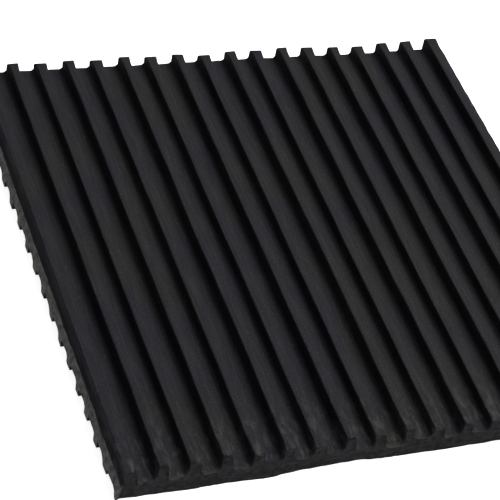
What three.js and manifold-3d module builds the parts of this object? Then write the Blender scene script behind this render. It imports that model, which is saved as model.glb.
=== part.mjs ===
import * as THREE from 'three';
import { mergeVertices } from 'three/addons/utils/BufferGeometryUtils.js';
import Module from 'manifold-3d';

// Anti-vibration rubber pad in one piece: a square cut from a moulded sheet that has a row of
// ribs on each face. The top ribs run front to back (Y), the bottom ribs run across (X).
// The origin is the middle of the square, on the surface that the bottom ribs stand on.

// The square that is cut from the sheet, and the sheet's full thickness, in millimetres.
const padWidth = 152.4;
const padLength = 152.4;
const padThickness = 9.525;

// The ribs, the same on both faces: flat crests between steep walls. High ribs carry the load,
// and each rib between two of them is a little lower and wider.
const ribPitch = 8.62;
const ribHeight = 3.6;
const lowRibDrop = 0.55;
const highCrestWidth = 2.65;
const lowCrestWidth = 3.1;
const wallRun = 0.15;

// How far the rounding of a crest corner and of a groove corner reaches along each side.
const crestRounding = 0.4;
const grooveRounding = 0.8;

// Where the cuts fall: from the left face to the middle of the first whole top rib, and from
// the front face to the middle of the first whole bottom rib. Both are low ribs, and the front
// cut leaves a strip of the high bottom rib before.
const firstTopRib = 2.6;
const firstBottomRib = 8.2;

// Black rubber, slightly faded on its surface.
const rubber = new THREE.MeshStandardMaterial({ color: 0x2b2b2d, roughness: 0.72, metalness: 0 });

// How far the uncut blocks run past the pad, so that each face of it comes from one block.
const overrun = 5;

// Points per rounded corner.
const cornerSteps = 3;

const wasm = await Module();
wasm.setup();

// Closed outline through corners given as [x, y, rounding]. A corner is rounded with a curve
// that reaches no further than half of the straight stretch on either side of it.
function roundedOutline(corners) {
  const outline = new THREE.Shape();
  corners.forEach(([x, y, rounding], index) => {
    const corner = new THREE.Vector2(x, y);
    const before = new THREE.Vector2(...corners.at(index - 1));
    const after = new THREE.Vector2(...corners[(index + 1) % corners.length]);
    const room = Math.min(corner.distanceTo(before), corner.distanceTo(after)) / 2;
    const reach = Math.min(rounding, room);
    const start = corner.clone().add(before.sub(corner).setLength(reach));
    const end = corner.clone().add(after.sub(corner).setLength(reach));
    if (index === 0) outline.moveTo(start.x, start.y);
    else outline.lineTo(start.x, start.y);
    if (reach > 0) outline.quadraticCurveTo(corner.x, corner.y, end.x, end.y);
  });
  return outline;
}

// End view of the sheet along one row of ribs. It starts with the high rib before the first
// whole one, in the middle of a groove, and runs past both edges of the pad and its far side.
function sheetOutline(span, firstRib) {
  const grooveFloor = padThickness - ribHeight;
  const corners = [];
  let middle = firstRib - ribPitch - span / 2;
  let isLow = false;
  corners.push([middle - ribPitch / 2, -overrun, 0]);
  corners.push([middle - ribPitch / 2, grooveFloor, 0]);
  while (middle < span / 2 + ribPitch) {
    const crest = isLow ? padThickness - lowRibDrop : padThickness;
    const halfCrest = (isLow ? lowCrestWidth : highCrestWidth) / 2;
    const halfRoot = halfCrest + wallRun;
    corners.push([middle - halfRoot, grooveFloor, grooveRounding]);
    corners.push([middle - halfCrest, crest, crestRounding]);
    corners.push([middle + halfCrest, crest, crestRounding]);
    corners.push([middle + halfRoot, grooveFloor, grooveRounding]);
    middle += ribPitch;
    isLow = !isLow;
  }
  corners.push([middle - ribPitch / 2, grooveFloor, 0]);
  corners.push([middle - ribPitch / 2, -overrun, 0]);
  return roundedOutline(corners);
}

// Sheet with ribs on its top only, running along Y.
function ribbedSheet(span, firstRib, ribLength) {
  const depth = ribLength + 2 * overrun;
  const settings = { depth, bevelEnabled: false, curveSegments: cornerSteps };
  const geometry = new THREE.ExtrudeGeometry(sheetOutline(span, firstRib), settings);
  return geometry.rotateX(Math.PI / 2).translate(0, depth / 2, 0);
}

function solidOf(geometry) {
  const bare = geometry.clone();
  bare.deleteAttribute('normal');
  bare.deleteAttribute('uv');
  const merged = mergeVertices(bare);
  return new wasm.Manifold(new wasm.Mesh({
    numProp: 3,
    vertProperties: merged.attributes.position.array,
    triVerts: new Uint32Array(merged.index.array),
  }));
}

function geometryOf(solid) {
  const mesh = solid.getMesh();
  const geometry = new THREE.BufferGeometry();
  geometry.setAttribute('position', new THREE.BufferAttribute(mesh.vertProperties, 3));
  geometry.setIndex(new THREE.BufferAttribute(mesh.triVerts, 1));
  geometry.computeVertexNormals();
  return geometry;
}

// The bottom ribs' sheet is turned over a level diagonal, so that its ribs point down and run
// along X. What the two sheets share is the whole moulding, and a square block cuts the pad out.
function ribbedPad() {
  const topSheet = ribbedSheet(padWidth, firstTopRib, padLength);
  const bottomSheet = ribbedSheet(padLength, firstBottomRib, padWidth);
  const diagonal = new THREE.Vector3(1, 1, 0).normalize();
  bottomSheet.applyMatrix4(new THREE.Matrix4().makeRotationAxis(diagonal, Math.PI));
  bottomSheet.translate(0, 0, padThickness);
  const square = new THREE.BoxGeometry(padWidth, padLength, padThickness + 2 * overrun);
  square.translate(0, 0, padThickness / 2);
  const moulding = solidOf(topSheet).intersect(solidOf(bottomSheet));
  const pad = new THREE.Mesh(geometryOf(moulding.intersect(solidOf(square))), rubber);
  pad.name = 'ribbed_pad';
  return pad;
}

const object = new THREE.Group();
object.add(ribbedPad());

export default object;
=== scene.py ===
import math

import bpy
from mathutils import Matrix, Vector


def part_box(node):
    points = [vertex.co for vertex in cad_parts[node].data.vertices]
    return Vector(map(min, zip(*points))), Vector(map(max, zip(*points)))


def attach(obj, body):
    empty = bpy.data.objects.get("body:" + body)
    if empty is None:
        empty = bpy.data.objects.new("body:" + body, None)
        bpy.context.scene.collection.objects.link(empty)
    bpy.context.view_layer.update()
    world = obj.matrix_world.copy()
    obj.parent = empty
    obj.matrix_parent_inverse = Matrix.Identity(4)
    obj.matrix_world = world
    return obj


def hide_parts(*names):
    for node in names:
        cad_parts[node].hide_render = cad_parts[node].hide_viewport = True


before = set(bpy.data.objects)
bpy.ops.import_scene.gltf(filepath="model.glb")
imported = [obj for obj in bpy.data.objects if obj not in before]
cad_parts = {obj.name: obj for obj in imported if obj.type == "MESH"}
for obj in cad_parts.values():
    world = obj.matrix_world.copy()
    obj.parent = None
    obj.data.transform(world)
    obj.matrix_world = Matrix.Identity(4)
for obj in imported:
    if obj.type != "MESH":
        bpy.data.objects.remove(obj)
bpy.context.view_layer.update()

# The sheet's ribbed outline, seen along one row of ribs: solid rubber pressed in a steel mould,
# so the crests are flat, the walls steep and the corners slightly rounded. Every second rib is
# lower and wider, and carries load only once the high ones are squashed.

pad_low, pad_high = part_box("ribbed_pad")
pad_width, pad_length, pad_thickness = pad_high - pad_low

mm = 0.001
rib_pitch = 8.62 * mm
rib_height = 3.6 * mm
low_rib_drop = 0.55 * mm
high_crest_width = 2.65 * mm
low_crest_width = 3.1 * mm
wall_run = 0.15 * mm
crest_radius = 0.45 * mm
groove_radius = 0.9 * mm


def add(tree, kind, inputs=(), **settings):
    """Adds a node. Each input takes a plain value, a socket or a node, whose first output it reads."""
    node = tree.nodes.new(kind)
    for name, value in settings.items():
        setattr(node, name, value)
    for key, value in dict(inputs).items():
        if isinstance(value, bpy.types.Node):
            value = value.outputs[0]
        if isinstance(value, bpy.types.NodeSocket):
            tree.links.new(value, node.inputs[key])
        else:
            node.inputs[key].default_value = value
    return node


def new_tree(name, sizes, counts=(), materials=()):
    """Makes an empty Geometry Nodes tree with named inputs and one geometry output."""
    tree = bpy.data.node_groups.new(name, "GeometryNodeTree")
    tree.interface.new_socket("Geometry", in_out="OUTPUT", socket_type="NodeSocketGeometry")
    for size in sizes:
        tree.interface.new_socket(size, in_out="INPUT", socket_type="NodeSocketFloat")
    for count in counts:
        tree.interface.new_socket(count, in_out="INPUT", socket_type="NodeSocketInt")
    for material in materials:
        tree.interface.new_socket(material, in_out="INPUT", socket_type="NodeSocketMaterial")
    return tree, tree.nodes.new("NodeGroupInput").outputs


edge, given = new_tree(
    "ribbed sheet edge",
    ["Span", "First Rib", "Pitch", "Thickness", "Rib Height", "Low Rib Drop",
     "High Crest Width", "Low Crest Width", "Wall Run", "Crest Radius", "Groove Radius"],
)

# One rib is six corners: a groove corner, two crest corners, a groove corner, and two plain
# points on the floor of the groove that follows.
corners_per_rib = 6
pitches = add(edge, "ShaderNodeMath", {0: given["Span"], 1: given["Pitch"]}, operation="DIVIDE")
whole_pitches = add(edge, "ShaderNodeMath", {0: pitches}, operation="CEIL")
ribs = add(edge, "ShaderNodeMath", {0: whole_pitches, 1: 2.0}, operation="ADD")
corner_count = add(edge, "ShaderNodeMath", {0: ribs, 1: corners_per_rib}, operation="MULTIPLY")
corners = add(edge, "GeometryNodeMeshLine", {"Count": corner_count})

index = add(edge, "GeometryNodeInputIndex")
corner = add(edge, "ShaderNodeMath", {0: index, 1: corners_per_rib}, operation="MODULO")
rib_step = add(edge, "ShaderNodeMath", {0: index, 1: corners_per_rib}, operation="DIVIDE")
rib = add(edge, "ShaderNodeMath", {0: rib_step}, operation="FLOOR")
groove_floor = add(
    edge, "ShaderNodeMath", {0: given["Thickness"], 1: given["Rib Height"]}, operation="SUBTRACT")
low_crest = add(
    edge, "ShaderNodeMath", {0: given["Thickness"], 1: given["Low Rib Drop"]},
    operation="SUBTRACT")


def rib_form(number):
    """Half the crest, half the root and the crest's height of a rib. Odd numbers are low ribs."""
    is_low = add(edge, "ShaderNodeMath", {0: number, 1: 2.0}, operation="MODULO")
    width = add(
        edge, "ShaderNodeMix",
        {0: is_low, 2: given["High Crest Width"], 3: given["Low Crest Width"]})
    half_crest = add(edge, "ShaderNodeMath", {0: width, 1: 0.5}, operation="MULTIPLY")
    half_root = add(edge, "ShaderNodeMath", {0: half_crest, 1: given["Wall Run"]}, operation="ADD")
    crest = add(edge, "ShaderNodeMix", {0: is_low, 2: given["Thickness"], 3: low_crest})
    return half_crest, half_root, crest


half_crest, half_root, crest = rib_form(rib)
minus_root = add(edge, "ShaderNodeMath", {0: half_root, 1: -1.0}, operation="MULTIPLY")
minus_crest = add(edge, "ShaderNodeMath", {0: half_crest, 1: -1.0}, operation="MULTIPLY")
near_share, far_share = 0.4, 0.6
near_floor = add(
    edge, "ShaderNodeMath", {0: given["Pitch"], 1: near_share}, operation="MULTIPLY")
far_floor = add(
    edge, "ShaderNodeMath", {0: given["Pitch"], 1: far_share}, operation="MULTIPLY")


def by_corner(values):
    """Picks one of six values by the corner of the rib."""
    choice = edge.nodes.new("GeometryNodeIndexSwitch")
    choice.data_type = "FLOAT"
    while len(choice.index_switch_items) < corners_per_rib:
        choice.index_switch_items.new()
    edge.links.new(corner.outputs[0], choice.inputs["Index"])
    for place, value in enumerate(values, start=1):
        if isinstance(value, float):
            choice.inputs[place].default_value = value
        else:
            edge.links.new(value, choice.inputs[place])
    return choice


across = by_corner([
    minus_root.outputs[0], minus_crest.outputs[0], half_crest.outputs[0],
    half_root.outputs[0], near_floor.outputs[0], far_floor.outputs[0]])
height = by_corner([
    groove_floor.outputs[0], crest.outputs[0], crest.outputs[0],
    groove_floor.outputs[0], groove_floor.outputs[0], groove_floor.outputs[0]])
radius = by_corner([
    given["Groove Radius"], given["Crest Radius"], given["Crest Radius"],
    given["Groove Radius"], 0.0, 0.0])
steps = by_corner([1.0, 2.0, 2.0, 1.0, 1.0, 1.0])

# Rib 0 is the high one before the pad's first whole rib, and the last one lies past its edge.
half_span = add(edge, "ShaderNodeMath", {0: given["Span"], 1: 0.5}, operation="MULTIPLY")
first_middle = add(
    edge, "ShaderNodeMath", {0: given["First Rib"], 1: half_span}, operation="SUBTRACT")
start = add(edge, "ShaderNodeMath", {0: first_middle, 1: given["Pitch"]}, operation="SUBTRACT")
middle = add(
    edge, "ShaderNodeMath", {0: rib, 1: given["Pitch"], 2: start}, operation="MULTIPLY_ADD")
corner_x = add(edge, "ShaderNodeMath", {0: middle, 1: across}, operation="ADD")
corner_place = add(edge, "ShaderNodeCombineXYZ", {"X": corner_x, "Z": height})
placed = add(edge, "GeometryNodeSetPosition", {"Geometry": corners, "Position": corner_place})
outline = add(edge, "GeometryNodeMeshToCurve", {"Mesh": placed})
rounded = add(
    edge, "GeometryNodeFilletCurve",
    {"Curve": outline, "Radius": radius, "Count": steps, "Limit Radius": True}, mode="POLY")

# Points past a cut move onto it, and those over 1 mm past it, which is the comparison's
# tolerance, take the height that the sheet has there. At the back cut that leaves a flap of no
# thickness, which hangs from the foot of the face.
here = add(edge, "GeometryNodeInputPosition")
place = add(edge, "ShaderNodeSeparateXYZ", {0: here})
minus_half = add(edge, "ShaderNodeMath", {0: half_span, 1: -1.0}, operation="MULTIPLY")
cut_x = add(
    edge, "ShaderNodeClamp", {"Value": place.outputs["X"], "Min": minus_half, "Max": half_span})
moved = add(edge, "FunctionNodeCompare", {0: place.outputs["X"], 1: cut_x}, operation="NOT_EQUAL")
from_start = add(edge, "ShaderNodeMath", {0: cut_x, 1: start}, operation="SUBTRACT")
in_pitches = add(
    edge, "ShaderNodeMath", {0: from_start, 1: given["Pitch"]}, operation="DIVIDE")
nearest = add(edge, "ShaderNodeMath", {0: in_pitches}, operation="ROUND")
half_crest_here, half_root_here, crest_here = rib_form(nearest)
off_rib = add(edge, "ShaderNodeMath", {0: in_pitches, 1: nearest}, operation="SUBTRACT")
off_middle = add(
    edge, "ShaderNodeMath", {0: off_rib, 1: given["Pitch"]}, operation="MULTIPLY")
distance = add(edge, "ShaderNodeMath", {0: off_middle}, operation="ABSOLUTE")
cut_z = add(
    edge, "ShaderNodeMapRange",
    {"Value": distance, "From Min": half_root_here, "From Max": half_crest_here,
     "To Min": groove_floor, "To Max": crest_here})
new_z = add(
    edge, "GeometryNodeSwitch",
    {"Switch": moved, "False": place.outputs["Z"], "True": cut_z}, input_type="FLOAT")
cut_place = add(edge, "ShaderNodeCombineXYZ", {"X": cut_x, "Z": new_z})
trimmed = add(edge, "GeometryNodeSetPosition", {"Geometry": rounded, "Position": cut_place})
add(edge, "NodeGroupOutput", {0: trimmed})

# The pad: a square of black rubber cut from the sheet with a blade, with its top ribs from front
# to back and its bottom ribs across. It is one lattice, whose columns follow the top outline and
# whose rows follow the bottom one, so the cut faces join the two without a seam.

first_top_rib = 2.6 * mm
first_bottom_rib = 8.2 * mm
side_layers = 7

pad, given = new_tree(
    "ribbed pad",
    ["Width", "Length", "Thickness", "First Top Rib", "First Bottom Rib", "Pitch", "Rib Height",
     "Low Rib Drop", "High Crest Width", "Low Crest Width", "Wall Run", "Crest Radius",
     "Groove Radius", "Rib Wander", "Crest Unevenness", "End Reach", "Side Reach",
     "Left Foot", "Left Bulge", "Cut Roughness", "Rib End Drop", "Rib End Flare", "Lip Overhang"],
    ["Side Layers", "Seed"],
    ["Moulded Skin", "Cut Rubber"],
)


def sheet_edge(span, first_rib):
    """Adds the outline of the sheet along one row of ribs, trimmed to one side of the pad."""
    group = pad.nodes.new("GeometryNodeGroup")
    group.node_tree = edge
    pad.links.new(given[span], group.inputs["Span"])
    pad.links.new(given[first_rib], group.inputs["First Rib"])
    for size in ("Pitch", "Thickness", "Rib Height", "Low Rib Drop", "High Crest Width",
                 "Low Crest Width", "Wall Run", "Crest Radius", "Groove Radius"):
        pad.links.new(given[size], group.inputs[size])
    return group


def line_of_lattice(outline, share):
    """Reads, for each lattice point, the outline's point in the same column or row."""
    size = add(pad, "GeometryNodeAttributeDomainSize", {0: outline}, component="CURVE")
    count = size.outputs["Point Count"]
    last = add(pad, "ShaderNodeMath", {0: count, 1: 1.0}, operation="SUBTRACT")
    from_start = add(pad, "ShaderNodeMath", {0: share, 1: 0.5}, operation="ADD")
    exact = add(pad, "ShaderNodeMath", {0: from_start, 1: last}, operation="MULTIPLY")
    number = add(pad, "ShaderNodeMath", {0: exact}, operation="ROUND")
    place = add(pad, "GeometryNodeInputPosition")
    sample = add(
        pad, "GeometryNodeSampleIndex", {"Geometry": outline, "Value": place, "Index": number},
        data_type="FLOAT_VECTOR", domain="POINT")
    parts = add(pad, "ShaderNodeSeparateXYZ", {0: sample})
    return count, parts.outputs["X"], parts.outputs["Z"]


unit = add(pad, "ShaderNodeSeparateXYZ", {0: add(pad, "GeometryNodeInputPosition")})
columns, x, top_z = line_of_lattice(sheet_edge("Width", "First Top Rib"), unit.outputs["X"])
rows, y, bottom_depth = line_of_lattice(
    sheet_edge("Length", "First Bottom Rib"), unit.outputs["Y"])
lattice = add(
    pad, "GeometryNodeMeshCube",
    {"Size": (1.0, 1.0, 1.0), "Vertices X": columns, "Vertices Y": rows,
     "Vertices Z": given["Side Layers"]})
layer = add(pad, "ShaderNodeMath", {0: unit.outputs["Z"], 1: 0.5}, operation="ADD")
bottom_z = add(
    pad, "ShaderNodeMath", {0: given["Thickness"], 1: bottom_depth}, operation="SUBTRACT")
z = add(
    pad, "ShaderNodeMapRange", {"Value": layer, "To Min": bottom_z, "To Max": top_z})

# A face on one of the lattice's four sides is cut rubber, and the rest is the moulded skin.
across_centre = add(pad, "ShaderNodeMath", {0: unit.outputs["X"]}, operation="ABSOLUTE")
along_centre = add(pad, "ShaderNodeMath", {0: unit.outputs["Y"]}, operation="ABSOLUTE")
furthest = add(pad, "ShaderNodeMath", {0: across_centre, 1: along_centre}, operation="MAXIMUM")
lattice_side = 0.4999
on_side = add(
    pad, "FunctionNodeCompare", {0: furthest, 1: lattice_side}, operation="GREATER_THAN")
marked = add(
    pad, "GeometryNodeStoreNamedAttribute",
    {"Geometry": lattice, "Name": "cut", "Value": on_side}, data_type="BOOLEAN", domain="FACE")

plain_place = add(pad, "ShaderNodeCombineXYZ", {"X": x, "Y": y, "Z": z})


half_crests_per_pitch = 6.0


def rib_number(coordinate, span, first_rib):
    """The number of the nearest rib, from zero at the first whole one, and the way off its middle.

    The way off the middle is about 1 at the edge of a crest, a sixth of a pitch away.
    """
    half = add(pad, "ShaderNodeMath", {0: given[span], 1: 0.5}, operation="MULTIPLY")
    from_edge = add(pad, "ShaderNodeMath", {0: coordinate, 1: half}, operation="ADD")
    from_first = add(
        pad, "ShaderNodeMath", {0: from_edge, 1: given[first_rib]}, operation="SUBTRACT")
    pitches = add(
        pad, "ShaderNodeMath", {0: from_first, 1: given["Pitch"]}, operation="DIVIDE")
    number = add(pad, "ShaderNodeMath", {0: pitches}, operation="ROUND")
    off_middle = add(pad, "ShaderNodeMath", {0: pitches, 1: number}, operation="SUBTRACT")
    in_half_crests = add(
        pad, "ShaderNodeMath", {0: off_middle, 1: half_crests_per_pitch}, operation="MULTIPLY")
    return number, in_half_crests


top_rib, off_top_rib = rib_number(x, "Width", "First Top Rib")
bottom_rib, _ = rib_number(y, "Length", "First Bottom Rib")


# Each rib reads its own part of the noise, this far from the next rib's.
noise_between_ribs = 7.3


def drift(number, along, per_metre, amount, weight):
    """A slow random drift, different for each rib, that changes along the rib."""
    apart = add(
        pad, "ShaderNodeMath", {0: number, 1: noise_between_ribs}, operation="MULTIPLY")
    distance = add(pad, "ShaderNodeMath", {0: along, 1: per_metre}, operation="MULTIPLY")
    vector = add(pad, "ShaderNodeCombineXYZ", {"X": apart, "Y": distance})
    noise = add(
        pad, "ShaderNodeTexNoise",
        {"Vector": vector, "W": given["Seed"], "Scale": 1.0, "Detail": 2.0}, noise_dimensions="4D")
    centred = add(pad, "ShaderNodeMath", {0: noise, 1: 0.5}, operation="SUBTRACT")
    scaled = add(pad, "ShaderNodeMath", {0: centred, 1: amount}, operation="MULTIPLY")
    return add(pad, "ShaderNodeMath", {0: scaled, 1: weight}, operation="MULTIPLY")


def up_the_rib(height):
    """How far up its rib a point lies, from 0 on the groove floor to 1 on a high crest."""
    return add(
        pad, "ShaderNodeMapRange",
        {"Value": height, "From Min": floor_z, "From Max": given["Thickness"]})


floor_z = add(
    pad, "ShaderNodeMath", {0: given["Thickness"], 1: given["Rib Height"]}, operation="SUBTRACT")
top_share = up_the_rib(top_z)
bottom_share = up_the_rib(bottom_depth)
below = add(pad, "ShaderNodeMath", {0: 1.0, 1: layer}, operation="SUBTRACT")
top_weight = add(pad, "ShaderNodeMath", {0: layer, 1: top_share}, operation="MULTIPLY")
bottom_weight = add(pad, "ShaderNodeMath", {0: below, 1: bottom_share}, operation="MULTIPLY")
wander_per_metre = 30.0
unevenness_per_metre = 90.0
wander_x = drift(top_rib, y, wander_per_metre, given["Rib Wander"], top_weight)
wander_y = drift(bottom_rib, x, wander_per_metre, given["Rib Wander"], bottom_weight)
uneven_z = drift(top_rib, y, unevenness_per_metre, given["Crest Unevenness"], top_weight)

# The blade wandered off the square, so the front, back and right faces have their own paths:
# a place along the face, and how far the face lies inside the square there, both in millimetres.
# The front face has three: at its foot, at the groove floors and at the crests.
front_foot = [
    (-76.2, -1.6), (-75.0, -1.0), (-67.0, -0.95), (-58.0, -1.0), (-45.0, -0.7), (-37.5, -0.85),
    (-31.0, -0.3), (-25.0, 0.3), (-18.0, 0.65), (-8.4, 0.95), (-3.0, 0.5), (15.0, 0.5),
    (24.0, 0.95), (35.0, 1.15), (55.0, 0.9), (76.2, 1.2)]
front_grooves = [
    (-76.2, -1.2), (-69.4, -0.85), (-60.8, -0.7), (-52.2, -0.1), (-43.5, -0.55), (-34.9, 0.0),
    (-26.3, 0.15), (-9.0, 0.3), (0.0, 0.5), (8.2, 1.1), (20.0, 1.0), (76.2, 1.2)]
front_crests = [
    (-76.2, -0.4), (-73.6, -0.2), (-65.0, 0.2), (-56.4, 0.5), (-47.7, 0.5), (-39.1, 0.0),
    (-30.5, 0.6), (-21.9, 0.1), (-13.3, 0.9), (-4.6, 0.8), (12.6, 1.1), (21.2, 0.9),
    (29.9, 1.1), (45.0, 0.8), (60.0, 1.2), (76.2, 1.0)]
back_crests = [
    (-76.2, 0.1), (-65.0, 0.0), (-39.1, -0.25), (-22.0, -0.3), (-13.3, -0.65), (-4.6, -0.25),
    (4.0, -0.6), (12.6, -1.1), (21.2, -0.85), (29.9, -1.2), (38.5, -0.3), (47.0, -0.5),
    (55.7, -1.1), (64.4, -1.6), (72.9, -1.9), (76.2, -1.9)]
right_face = [(-76.2, -1.5), (0.0, -1.6), (76.2, -1.6)]
blade_range = 4.0


def blade_path(points, along, half):
    """Reads how far a cut face lies inside the square, in metres, at a place along the face."""
    minus_half = add(pad, "ShaderNodeMath", {0: half, 1: -1.0}, operation="MULTIPLY")
    share = add(
        pad, "ShaderNodeMapRange", {"Value": along, "From Min": minus_half, "From Max": half})
    path = add(pad, "ShaderNodeFloatCurve", {"Value": share})
    curve = path.mapping.curves[0]
    first, last = points[0][0], points[-1][0]
    places = [((place - first) / (last - first), 0.5 + inset / blade_range)
              for place, inset in points]
    curve.points[0].location = places[0]
    curve.points[1].location = places[-1]
    for place in places[1:-1]:
        curve.points.new(*place)
    path.mapping.update()
    centred = add(pad, "ShaderNodeMath", {0: path, 1: 0.5}, operation="SUBTRACT")
    return add(
        pad, "ShaderNodeMath", {0: centred, 1: blade_range * mm}, operation="MULTIPLY")


def beside_cut(coordinate, span, side, reach):
    """1 on a cut face, falling to 0 at the reach of the cut inside it."""
    face = add(
        pad, "ShaderNodeMath", {0: given[span], 1: 0.5 * side}, operation="MULTIPLY")
    minus_reach = add(
        pad, "ShaderNodeMath", {0: given[reach], 1: -side}, operation="MULTIPLY")
    inside = add(pad, "ShaderNodeMath", {0: face, 1: minus_reach}, operation="ADD")
    return add(
        pad, "ShaderNodeMapRange", {"Value": coordinate, "From Min": inside, "From Max": face})


half_width = add(pad, "ShaderNodeMath", {0: given["Width"], 1: 0.5}, operation="MULTIPLY")
at_foot = blade_path(front_foot, x, half_width)
at_grooves = blade_path(front_grooves, x, half_width)
at_crests = blade_path(front_crests, x, half_width)
below_floor = add(
    pad, "ShaderNodeMapRange",
    {"Value": z, "From Max": floor_z, "To Min": at_foot, "To Max": at_grooves})
front_inset = add(
    pad, "ShaderNodeMapRange",
    {"Value": z, "From Min": floor_z, "From Max": given["Thickness"],
     "To Min": below_floor, "To Max": at_crests})
at_back_crests = blade_path(back_crests, x, half_width)
share_in_grooves = 0.35
less_in_grooves = add(
    pad, "ShaderNodeMapRange", {"Value": top_share, "To Min": share_in_grooves})
back_inset = add(
    pad, "ShaderNodeMath", {0: at_back_crests, 1: less_in_grooves}, operation="MULTIPLY")
front = beside_cut(y, "Length", -1.0, "End Reach")
back = beside_cut(y, "Length", 1.0, "End Reach")
left = beside_cut(x, "Width", -1.0, "Side Reach")
right = beside_cut(x, "Width", 1.0, "Side Reach")
half_length = add(pad, "ShaderNodeMath", {0: given["Length"], 1: 0.5}, operation="MULTIPLY")
right_inset = blade_path(right_face, y, half_length)

# The blade also dragged at the rubber, which left the faces dented.
dents = add(
    pad, "ShaderNodeTexNoise",
    {"Vector": plain_place, "W": given["Seed"], "Scale": 260.0, "Detail": 3.0},
    noise_dimensions="4D")
dent = add(pad, "ShaderNodeMath", {0: dents, 1: 0.5}, operation="SUBTRACT")
dent_depth = add(
    pad, "ShaderNodeMath", {0: dent, 1: given["Cut Roughness"]}, operation="MULTIPLY")

# At the front the blade pulled the groove floors out into lips that hang over the face.
lips = add(
    pad, "ShaderNodeTexNoise",
    {"Vector": plain_place, "W": given["Seed"], "Scale": 190.0, "Detail": 1.0},
    noise_dimensions="4D")
lip_size = add(
    pad, "ShaderNodeMapRange", {"Value": lips, "From Min": 0.35, "From Max": 0.65})
in_groove = add(pad, "ShaderNodeMath", {0: 1.0, 1: top_share}, operation="SUBTRACT")
lip_foot = 0.7
top_layer = add(
    pad, "ShaderNodeMapRange", {"Value": layer, "From Min": lip_foot, "From Max": 1.0})
at_face = 0.9999
on_front = add(pad, "FunctionNodeCompare", {0: front, 1: at_face}, operation="GREATER_THAN")
lip = lip_size
for share in (in_groove, top_layer, on_front):
    lip = add(pad, "ShaderNodeMath", {0: lip, 1: share}, operation="MULTIPLY")
lip_out = add(
    pad, "ShaderNodeMath", {0: lip, 1: given["Lip Overhang"]}, operation="MULTIPLY")

front_in = add(pad, "ShaderNodeMath", {0: front_inset, 1: dent_depth}, operation="ADD")
front_out = add(pad, "ShaderNodeMath", {0: front_in, 1: lip_out}, operation="SUBTRACT")
back_in = add(pad, "ShaderNodeMath", {0: back_inset, 1: dent_depth}, operation="ADD")
minus_back = add(pad, "ShaderNodeMath", {0: back, 1: -1.0}, operation="MULTIPLY")
from_front = add(
    pad, "ShaderNodeMath", {0: front_out, 1: front, 2: wander_y}, operation="MULTIPLY_ADD")
shift_y = add(
    pad, "ShaderNodeMath", {0: back_in, 1: minus_back, 2: from_front}, operation="MULTIPLY_ADD")
right_in = add(pad, "ShaderNodeMath", {0: right_inset, 1: dent_depth}, operation="ADD")
minus_right = add(pad, "ShaderNodeMath", {0: right, 1: -1.0}, operation="MULTIPLY")
left_teeth = add(
    pad, "ShaderNodeMapRange",
    {"Value": z, "From Max": given["Rib Height"], "To Min": given["Left Foot"],
     "To Max": given["Left Bulge"]})
# The left face bulges most at the roots of the bottom ribs, and not at all above the floors of
# the top grooves.
left_side = add(
    pad, "ShaderNodeMapRange",
    {"Value": z, "From Min": given["Rib Height"], "From Max": floor_z, "To Min": left_teeth,
     "To Max": 0.0})
left_in = add(pad, "ShaderNodeMath", {0: dent_depth, 1: left_side}, operation="SUBTRACT")
from_left = add(
    pad, "ShaderNodeMath", {0: left_in, 1: left, 2: wander_x}, operation="MULTIPLY_ADD")
from_sides = add(
    pad, "ShaderNodeMath", {0: right_in, 1: minus_right, 2: from_left}, operation="MULTIPLY_ADD")

# At the back the blade left the rubber, and spread the last 2 mm of each rib.
flare_start = 0.75
end_of_rib = add(
    pad, "ShaderNodeMapRange", {"Value": back, "From Min": flare_start, "From Max": 1.0})
spread = add(pad, "ShaderNodeMath", {0: end_of_rib, 1: top_weight}, operation="MULTIPLY")
flare = add(pad, "ShaderNodeMath", {0: spread, 1: given["Rib End Flare"]}, operation="MULTIPLY")
shift_x = add(
    pad, "ShaderNodeMath", {0: flare, 1: off_top_rib, 2: from_sides}, operation="MULTIPLY_ADD")

# Each rib's end is dragged down a little, and so is each lip.
luck = add(
    pad, "FunctionNodeRandomValue", {"ID": top_rib, "Seed": given["Seed"]}, data_type="FLOAT")
on_back = add(pad, "FunctionNodeCompare", {0: back, 1: at_face}, operation="GREATER_THAN")
at_end = add(pad, "ShaderNodeMath", {0: on_front, 1: on_back}, operation="MAXIMUM")
end_drop = add(pad, "ShaderNodeMath", {0: top_weight, 1: at_end}, operation="MULTIPLY")
uneven_drop = add(pad, "ShaderNodeMath", {0: end_drop, 1: luck.outputs[1]}, operation="MULTIPLY")
dropped = add(
    pad, "ShaderNodeMath", {0: uneven_drop, 1: given["Rib End Drop"], 2: lip_out},
    operation="MULTIPLY_ADD")
shift_z = add(pad, "ShaderNodeMath", {0: uneven_z, 1: dropped}, operation="SUBTRACT")
shift = add(pad, "ShaderNodeCombineXYZ", {"X": shift_x, "Y": shift_y, "Z": shift_z})

# The skin's material reads how far each point is drawn out into a lip.
with_lips = add(
    pad, "GeometryNodeStoreNamedAttribute",
    {"Geometry": marked, "Name": "lip", "Value": lip}, data_type="FLOAT", domain="POINT")
shaped = add(
    pad, "GeometryNodeSetPosition",
    {"Geometry": with_lips, "Position": plain_place, "Offset": shift})
# Points that were moved to the same place on a cut become one.
same_place = 0.001 * mm
merged = add(pad, "GeometryNodeMergeByDistance", {"Geometry": shaped, "Distance": same_place})
smooth = add(pad, "GeometryNodeSetShadeSmooth", {"Geometry": merged})
real = add(pad, "GeometryNodeRealizeInstances", {"Geometry": smooth})
skinned = add(
    pad, "GeometryNodeSetMaterial", {"Geometry": real, "Material": given["Moulded Skin"]})
is_cut = add(pad, "GeometryNodeInputNamedAttribute", {"Name": "cut"}, data_type="BOOLEAN")
finished = add(
    pad, "GeometryNodeSetMaterial",
    {"Geometry": skinned, "Selection": is_cut, "Material": given["Cut Rubber"]})
add(pad, "NodeGroupOutput", {0: finished})


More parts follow.
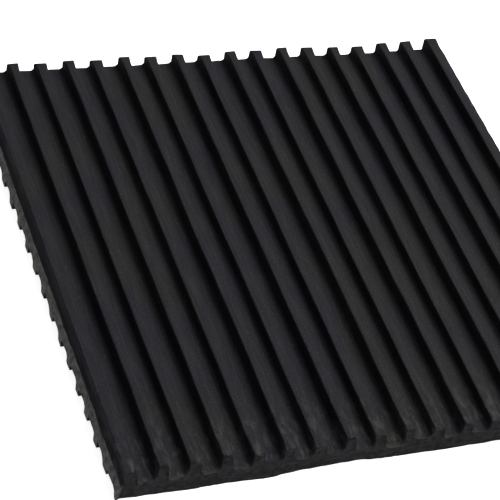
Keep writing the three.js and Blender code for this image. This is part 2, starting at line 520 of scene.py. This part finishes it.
def linear(hex_colour):
    """Turns an sRGB colour such as 2B2B2D into linear red, green, blue and alpha."""
    channels = [int(hex_colour[place:place + 2], 16) / 255 for place in (0, 2, 4)]
    return [c / 12.92 if c <= 0.04045 else ((c + 0.055) / 1.055) ** 2.4 for c in channels] + [1.0]


# The rubber's colours, from its bloom to what the blade lays bare. The cut faces' side colours are
# paler as painted light, and their end colours are darker as painted shade.
bluish_black = "101019"
yellowish_black = "141412"
rubbed_grey = "202022"
rubbed_pale = "343432"
end_painted_shade_dark = "181819"
end_painted_shade_pale = "27272A"
side_painted_light_dark = "333334"
side_painted_light_pale = "4E4E4C"


def new_material(name):
    """Makes an empty material and its node that reads places on the pad in metres."""
    material = bpy.data.materials.new(name)
    material.use_nodes = True
    material.node_tree.nodes.clear()
    return material, material.node_tree, add(material.node_tree, "ShaderNodeTexCoord")


# Moulded rubber: the skin that the steel mould leaves, black and dull, with faint draw marks
# along the ribs, bluish and yellowish clouds of bloom, and pale specks and rubbed patches.
skin, tree, coordinates = new_material("moulded rubber")
place = add(tree, "ShaderNodeSeparateXYZ", {0: coordinates.outputs["Object"]})
swapped = add(
    tree, "ShaderNodeCombineXYZ",
    {"X": place.outputs["Y"], "Y": place.outputs["X"], "Z": place.outputs["Z"]})
is_top = add(
    tree, "ShaderNodeMath", {0: place.outputs["Z"], 1: 0.5 * pad_thickness},
    operation="GREATER_THAN")
along_ribs = add(
    tree, "ShaderNodeMix", {0: is_top, 4: swapped, 5: coordinates.outputs["Object"]},
    data_type="VECTOR")
# The draw marks are really 0.1 mm apart. They are drawn 0.7 mm apart and 12 mm long to show.
drawn_out = add(
    tree, "ShaderNodeMapping",
    {"Vector": along_ribs.outputs[1], "Scale": (1 / (0.7 * mm), 1 / (12 * mm), 1 / (3 * mm))})
marks = add(tree, "ShaderNodeTexNoise", {"Vector": drawn_out, "Scale": 1.0, "Detail": 3.0})
clouds = add(
    tree, "ShaderNodeTexNoise",
    {"Vector": coordinates.outputs["Object"], "Scale": 1 / (22 * mm), "Detail": 3.0})
cloud_share = add(
    tree, "ShaderNodeMapRange", {"Value": clouds, "From Min": 0.44, "From Max": 0.66})
tint = add(
    tree, "ShaderNodeMix",
    {0: cloud_share, 6: linear(bluish_black), 7: linear(yellowish_black)}, data_type="RGBA")
mark_share = add(
    tree, "ShaderNodeMapRange",
    {"Value": marks, "From Min": 0.38, "From Max": 0.68, "To Min": 0.0, "To Max": 0.7})
marked_tint = add(
    tree, "ShaderNodeMix", {0: mark_share, 6: tint.outputs[2], 7: linear(rubbed_grey)},
    data_type="RGBA")
# The grain is drawn 0.5 mm wide, about five times its real width.
grain = add(
    tree, "ShaderNodeTexNoise",
    {"Vector": coordinates.outputs["Object"], "Scale": 1 / (0.5 * mm), "Detail": 2.0})
lip_share = add(tree, "ShaderNodeAttribute", attribute_name="lip")
# The rubbed patches fade out over the first 22 mm from the front face.
front_share = add(
    tree, "ShaderNodeMapRange",
    {"Value": place.outputs["Y"], "From Min": -0.5 * pad_length + 22 * mm,
     "From Max": -0.5 * pad_length})
patch_places = add(
    tree, "ShaderNodeMapping",
    {"Vector": along_ribs.outputs[1], "Scale": (1 / (1.3 * mm), 1 / (4 * mm), 1 / (2 * mm))})
patches = add(
    tree, "ShaderNodeTexNoise",
    {"Vector": patch_places, "Scale": 1.0, "Detail": 4.0})
patch_share = add(
    tree, "ShaderNodeMapRange", {"Value": patches, "From Min": 0.5, "From Max": 0.68})
rubbed = add(tree, "ShaderNodeMath", {0: patch_share, 1: front_share}, operation="MULTIPLY")
rubbed_or_lip = add(
    tree, "ShaderNodeMath", {0: rubbed, 1: lip_share.outputs["Fac"]}, operation="MAXIMUM")
worn_tint = add(
    tree, "ShaderNodeMix", {0: rubbed_or_lip, 6: marked_tint.outputs[2], 7: linear(rubbed_pale)},
    data_type="RGBA")
specks = add(
    tree, "ShaderNodeTexVoronoi",
    {"Vector": coordinates.outputs["Object"], "Scale": 1 / (3.5 * mm)})
speck_share = add(
    tree, "ShaderNodeMapRange",
    {"Value": specks.outputs["Distance"], "From Min": 0.11, "From Max": 0.05, "To Max": 0.5})
speck_tint = add(
    tree, "ShaderNodeMix", {0: speck_share, 6: worn_tint.outputs[2], 7: linear(rubbed_pale)},
    data_type="RGBA")
roughness = add(
    tree, "ShaderNodeMapRange",
    {"Value": grain, "From Min": 0.3, "From Max": 0.7, "To Min": 0.6, "To Max": 0.8})
relief = add(tree, "ShaderNodeMath", {0: marks, 1: 0.6, 2: grain}, operation="MULTIPLY_ADD")
bump = add(
    tree, "ShaderNodeBump", {"Height": relief, "Strength": 0.8, "Distance": 0.25 * mm})
surface = add(
    tree, "ShaderNodeBsdfPrincipled",
    {"Base Color": speck_tint.outputs[2], "Roughness": roughness, "IOR": 1.52,
     "Specular IOR Level": 0.15, "Normal": bump})
add(tree, "ShaderNodeOutputMaterial", {"Surface": surface})

# Cut rubber: the blade tears the filled rubber, so it scatters light and looks paler than the
# skin, with drag marks and crumbs. The two sides are painted paler as painted light, and the two ends
# are painted darker as painted shade.
cut_face, tree, coordinates = new_material("cut rubber")
place = add(tree, "ShaderNodeSeparateXYZ", {0: coordinates.outputs["Object"]})
# The side faces take a paler copy of the cut colour as painted light, and the end faces a darker copy
# as painted shade.
face_depth = 0.6 * mm
off_side = add(tree, "ShaderNodeMath", {0: place.outputs["X"]}, operation="ABSOLUTE")
on_side = add(
    tree, "ShaderNodeMath", {0: off_side, 1: 0.5 * pad_width - face_depth},
    operation="GREATER_THAN")
torn = add(
    tree, "ShaderNodeTexNoise",
    {"Vector": coordinates.outputs["Object"], "Scale": 1 / (1.6 * mm), "Detail": 4.0})
torn_share = add(
    tree, "ShaderNodeMapRange", {"Value": torn, "From Min": 0.35, "From Max": 0.65})
painted_shade_end_tint = add(
    tree, "ShaderNodeMix", {0: torn_share, 6: linear(end_painted_shade_dark), 7: linear(end_painted_shade_pale)},
    data_type="RGBA")
painted_light_side_tint = add(
    tree, "ShaderNodeMix", {0: torn_share, 6: linear(side_painted_light_dark), 7: linear(side_painted_light_pale)},
    data_type="RGBA")
tint = add(
    tree, "ShaderNodeMix", {0: on_side, 6: painted_shade_end_tint.outputs[2], 7: painted_light_side_tint.outputs[2]},
    data_type="RGBA")
# The drag marks lie level along the face, 0.9 mm apart and 7 mm long, coarser than the real ones.
dragged = add(
    tree, "ShaderNodeMapping",
    {"Vector": coordinates.outputs["Object"],
     "Scale": (1 / (7 * mm), 1 / (7 * mm), 1 / (0.9 * mm))})
drag = add(tree, "ShaderNodeTexNoise", {"Vector": dragged, "Scale": 1.0, "Detail": 3.0})
relief = add(tree, "ShaderNodeMath", {0: drag, 1: torn}, operation="ADD")
bump = add(
    tree, "ShaderNodeBump", {"Height": relief, "Strength": 1.0, "Distance": 0.4 * mm})
drag_share = add(
    tree, "ShaderNodeMapRange",
    {"Value": drag, "From Min": 0.55, "From Max": 0.75, "To Max": 0.5})
dragged_tint = add(
    tree, "ShaderNodeMix", {0: drag_share, 6: tint.outputs[2], 7: linear(bluish_black)},
    data_type="RGBA")
surface = add(
    tree, "ShaderNodeBsdfPrincipled",
    {"Base Color": dragged_tint.outputs[2], "Roughness": 0.85, "IOR": 1.52,
     "Specular IOR Level": 0.15, "Normal": bump})
add(tree, "ShaderNodeOutputMaterial", {"Surface": surface})

sizes = {
    "Width": pad_width,
    "Length": pad_length,
    "Thickness": pad_thickness,
    "First Top Rib": first_top_rib,
    "First Bottom Rib": first_bottom_rib,
    "Pitch": rib_pitch,
    "Rib Height": rib_height,
    "Low Rib Drop": low_rib_drop,
    "High Crest Width": high_crest_width,
    "Low Crest Width": low_crest_width,
    "Wall Run": wall_run,
    "Crest Radius": crest_radius,
    "Groove Radius": groove_radius,
    "Rib Wander": 0.9 * mm,
    "Crest Unevenness": 0.4 * mm,
    "End Reach": 8.0 * mm,
    "Side Reach": 4.0 * mm,
    "Left Foot": 0.55 * mm,
    "Left Bulge": 1.0 * mm,
    "Cut Roughness": 0.9 * mm,
    "Rib End Drop": 0.6 * mm,
    "Rib End Flare": 0.55 * mm,
    "Lip Overhang": 0.9 * mm,
    "Side Layers": side_layers,
    "Seed": 3,
    "Moulded Skin": skin,
    "Cut Rubber": cut_face,
}
maker = bpy.data.objects.new("pad maker", bpy.data.meshes.new("pad maker"))
bpy.context.collection.objects.link(maker)
nodes = maker.modifiers.new("ribbed pad", "NODES")
nodes.node_group = pad
for socket in pad.interface.items_tree:
    if socket.in_out == "INPUT":
        nodes[socket.identifier] = sizes[socket.name]
evaluated = maker.evaluated_get(bpy.context.evaluated_depsgraph_get())
mesh = bpy.data.meshes.new_from_object(evaluated)
# The lattice comes with an empty first material slot, which goes.
mesh.materials.pop(index=0)
bpy.data.objects.remove(maker)
mesh.set_sharp_from_angle(angle=math.radians(50))
rubber_pad = bpy.data.objects.new("rubber_pad", mesh)
bpy.context.collection.objects.link(rubber_pad)
even_shading = rubber_pad.modifiers.new("even shading", "WEIGHTED_NORMAL")
even_shading.keep_sharp = True
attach(rubber_pad, "root")
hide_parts("ribbed_pad")

# Plain pale floor under the pad, wide enough to fill every view: a sheet of white paper, lit
# from below so that the pad's shadow stays light.
floor_mesh = bpy.data.meshes.new("floor")
reach = 3.0
floor_mesh.from_pydata(
    [(-reach, -reach, 0), (reach, -reach, 0), (reach, reach, 0), (-reach, reach, 0)],
    [], [(0, 1, 2, 3)])
floor = bpy.data.objects.new("floor", floor_mesh)
bpy.context.collection.objects.link(floor)
paper = bpy.data.materials.new("white paper")
paper.use_nodes = True
paper_looks = paper.node_tree.nodes["Principled BSDF"].inputs
paper_looks["Base Color"].default_value = linear("F4F4F4")
paper_looks["Roughness"].default_value = 0.9
paper_looks["Emission Color"].default_value = (1, 1, 1, 1)
paper_looks["Emission Strength"].default_value = 0.85
floor_mesh.materials.append(paper)
# The paper doesn't show in the pad's gloss, so the wall of the first rib stays dark.
floor.visible_glossy = False

# Soft studio light: a wide box over the pad, to its right and a little behind it, and a weak
# fill from all round.
world = bpy.data.worlds.new("studio")
world.use_nodes = True
world.node_tree.nodes["Background"].inputs["Color"].default_value = (1, 1, 1, 1)
world.node_tree.nodes["Background"].inputs["Strength"].default_value = 0.25
bpy.context.scene.world = world


def soft_box(name, place, size, power):
    """A square area light that faces the middle of the pad."""
    light = bpy.data.lights.new(name, "AREA")
    light.size = size
    light.energy = power
    box = bpy.data.objects.new(name, light)
    box.location = place
    box.rotation_euler = (-Vector(place)).to_track_quat("-Z", "Y").to_euler()
    bpy.context.collection.objects.link(box)
    return box


soft_box("overhead box", (0.75, 0.25, 1.4), 1.2, 38.0)

# The camera looks down on the pad from its front left, as in the photograph, and stands about
# 0.6 m away with a long lens.
camera_place = Vector((-0.232371, -0.364853, 0.401992))
view_right = Vector((0.9144, -0.33275, 0.23053))
view_up = Vector((0.08373, 0.71265, 0.6965))
view_back = Vector((-0.39605, -0.61758, 0.67951))
camera_data = bpy.data.cameras.new("camera")
camera_data.lens = 148.74
camera_data.sensor_width = 36.0
camera_data.shift_x = -0.1
camera_data.clip_start = 0.01
camera = bpy.data.objects.new("camera", camera_data)
turn = Matrix((view_right, view_up, view_back)).transposed()
camera.matrix_world = Matrix.Translation(camera_place) @ turn.to_4x4()
bpy.context.collection.objects.link(camera)
bpy.context.scene.camera = camera
bpy.context.scene.view_settings.view_transform = "Standard"
